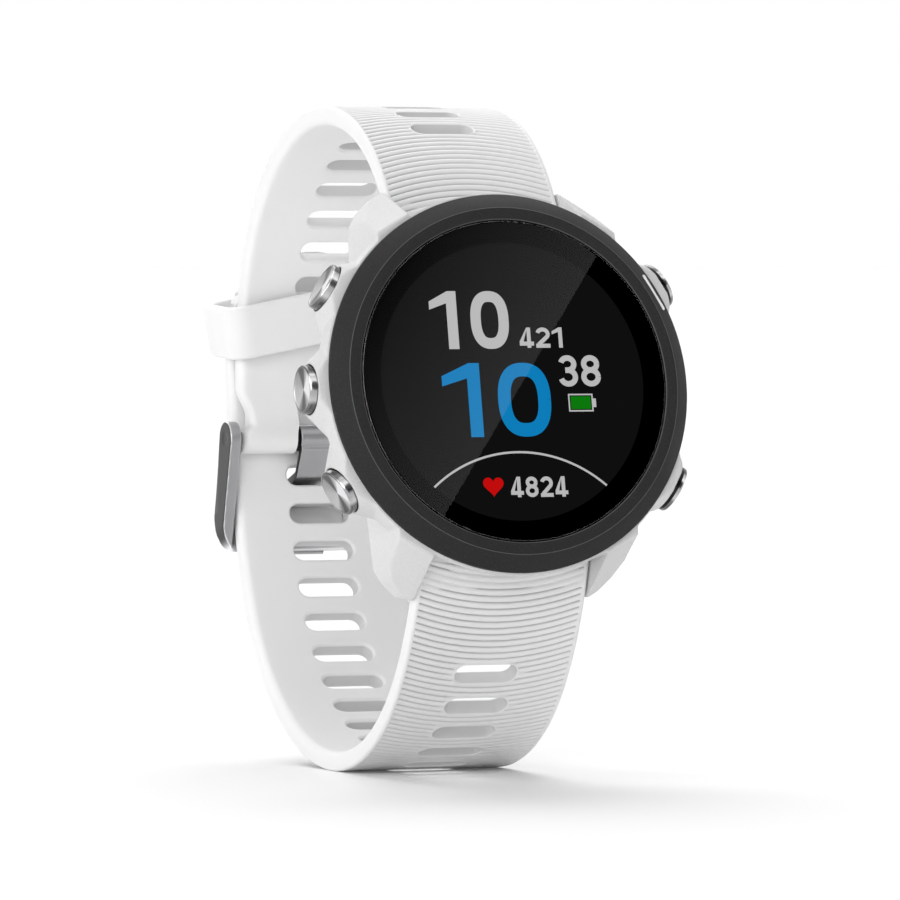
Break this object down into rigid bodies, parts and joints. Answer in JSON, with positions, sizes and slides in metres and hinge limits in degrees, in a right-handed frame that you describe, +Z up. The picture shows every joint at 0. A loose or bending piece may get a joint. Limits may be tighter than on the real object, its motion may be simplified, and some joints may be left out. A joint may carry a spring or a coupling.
{
  "type": "running watch",
  "caption": "Round running watch with side push buttons, bevelled bezel and flat lens, standing on its closed slotted strap with a pin buckle and keeper loop.",
  "frame": {"origin": "centre of the bounding box on the surface that the strap stands on", "axes": "+X towards 3 o'clock, -Y the way the lens faces, +Z up towards 12 o'clock; the face leans back 11.5 degrees"},
  "size_m": [0.0441, 0.0712, 0.0743],
  "materials": {
    "case_polymer": "fine-grained moulded white",
    "marker_white": "smooth white inlay",
    "bezel_polymer": "fine-grained dark grey",
    "lens_glass": "polished",
    "seal_rubber": "smooth black",
    "display_black": "lit picture on black",
    "back_polymer": "fine-grained white",
    "screw_steel": "plain",
    "window_black": "polished",
    "board_green": "soldermask",
    "contact_gold": "plated",
    "chassis_grey": "moulded",
    "can_steel": "plain",
    "cell_foil": "foil pouch",
    "weight_steel": "sintered",
    "switch_black": "moulded",
    "cap_steel": "spun face, polished rim",
    "strap_silicone": "soft white, ribbed outside",
    "buckle_steel": "brushed with polished edges",
    "pin_steel": "plain"
  },
  "bodies": {
    "case": {"bezel": "bezel_polymer", "start_marker": "marker_white", "lens": "lens_glass", "lens_seal": "seal_rubber", "display_module": "display_black", "middle_case": "case_polymer", "rear_cover": "back_polymer", "case_gasket": "seal_rubber", "rear_screws": "screw_steel", "sensor_window": "window_black", "sensor_board": "board_green", "charging_contacts": "contact_gold", "chassis": "chassis_grey", "main_board": "board_green", "shield_can": "can_steel", "battery": "cell_foil", "motor_can": "can_steel", "buzzer": "contact_gold", "antenna_ring": "contact_gold", "tact_switches": "switch_black", "button_seals": "seal_rubber", "upper_strap": "strap_silicone", "lower_strap": "strap_silicone", "buckle_bar_pin": "pin_steel", "upper_spring_bar": "pin_steel", "lower_spring_bar": "pin_steel"},
    "light_button": {"light_button": "cap_steel", "light_clip": "pin_steel"},
    "up_button": {"up_button": "cap_steel", "up_clip": "pin_steel"},
    "down_button": {"down_button": "cap_steel", "down_clip": "pin_steel"},
    "start_button": {"start_button": "cap_steel", "start_clip": "pin_steel"},
    "back_button": {"back_button": "cap_steel", "back_clip": "pin_steel"},
    "keeper_loop": {"keeper": "strap_silicone"},
    "buckle": {"buckle_frame": "buckle_steel"},
    "tongue": {"buckle_tongue": "buckle_steel"},
    "upper_release": {"upper_release_pin": "pin_steel"},
    "lower_release": {"lower_release_pin": "pin_steel"},
    "rotor": {"motor_rotor": "weight_steel"}
  },
  "joints": [
    {"name": "light_press", "type": "slide", "parent": "case", "child": "light_button", "axis": [0.866, -0.0997, -0.49], "range_m": [0, 0.0004], "stiffness_N_per_m": 2000},
    {"name": "up_press", "type": "slide", "parent": "case", "child": "up_button", "axis": [1, 0, 0], "range_m": [0, 0.0004], "stiffness_N_per_m": 2000},
    {"name": "down_press", "type": "slide", "parent": "case", "child": "down_button", "axis": [0.866, 0.0997, 0.49], "range_m": [0, 0.0004], "stiffness_N_per_m": 2000},
    {"name": "start_press", "type": "slide", "parent": "case", "child": "start_button", "axis": [-0.866, -0.0997, -0.49], "range_m": [0, 0.0004], "stiffness_N_per_m": 2000},
    {"name": "back_press", "type": "slide", "parent": "case", "child": "back_button", "axis": [-0.866, 0.0997, 0.49], "range_m": [0, 0.0004], "stiffness_N_per_m": 2000},
    {"name": "buckle_swing", "type": "hinge", "parent": "case", "child": "buckle", "pos_m": [0.00088, 0.02765, 0.03647], "axis": [1, 0, 0], "range_deg": [0, 6]},
    {"name": "tongue_swing", "type": "hinge", "parent": "buckle", "child": "tongue", "pos_m": [0.00088, 0.02765, 0.03647], "axis": [1, 0, 0], "range_deg": [0, 4]},
    {"name": "keeper_slide", "type": "slide", "parent": "case", "child": "keeper_loop", "axis": [0, -0.1472, 0.9891], "range_m": [-0.003, 0.0005]},
    {"name": "upper_release_slide", "type": "slide", "parent": "case", "child": "upper_release", "axis": [-1, 0, 0], "range_m": [0, 0.0012], "stiffness_N_per_m": 500},
    {"name": "lower_release_slide", "type": "slide", "parent": "case", "child": "lower_release", "axis": [-1, 0, 0], "range_m": [0, 0.0012], "stiffness_N_per_m": 500},
    {"name": "rotor_spin", "type": "hinge", "parent": "case", "child": "rotor", "pos_m": [0.00088, -0.02827, 0.03008], "axis": [0, -0.9799, 0.1994], "continuous": true}
  ]
}
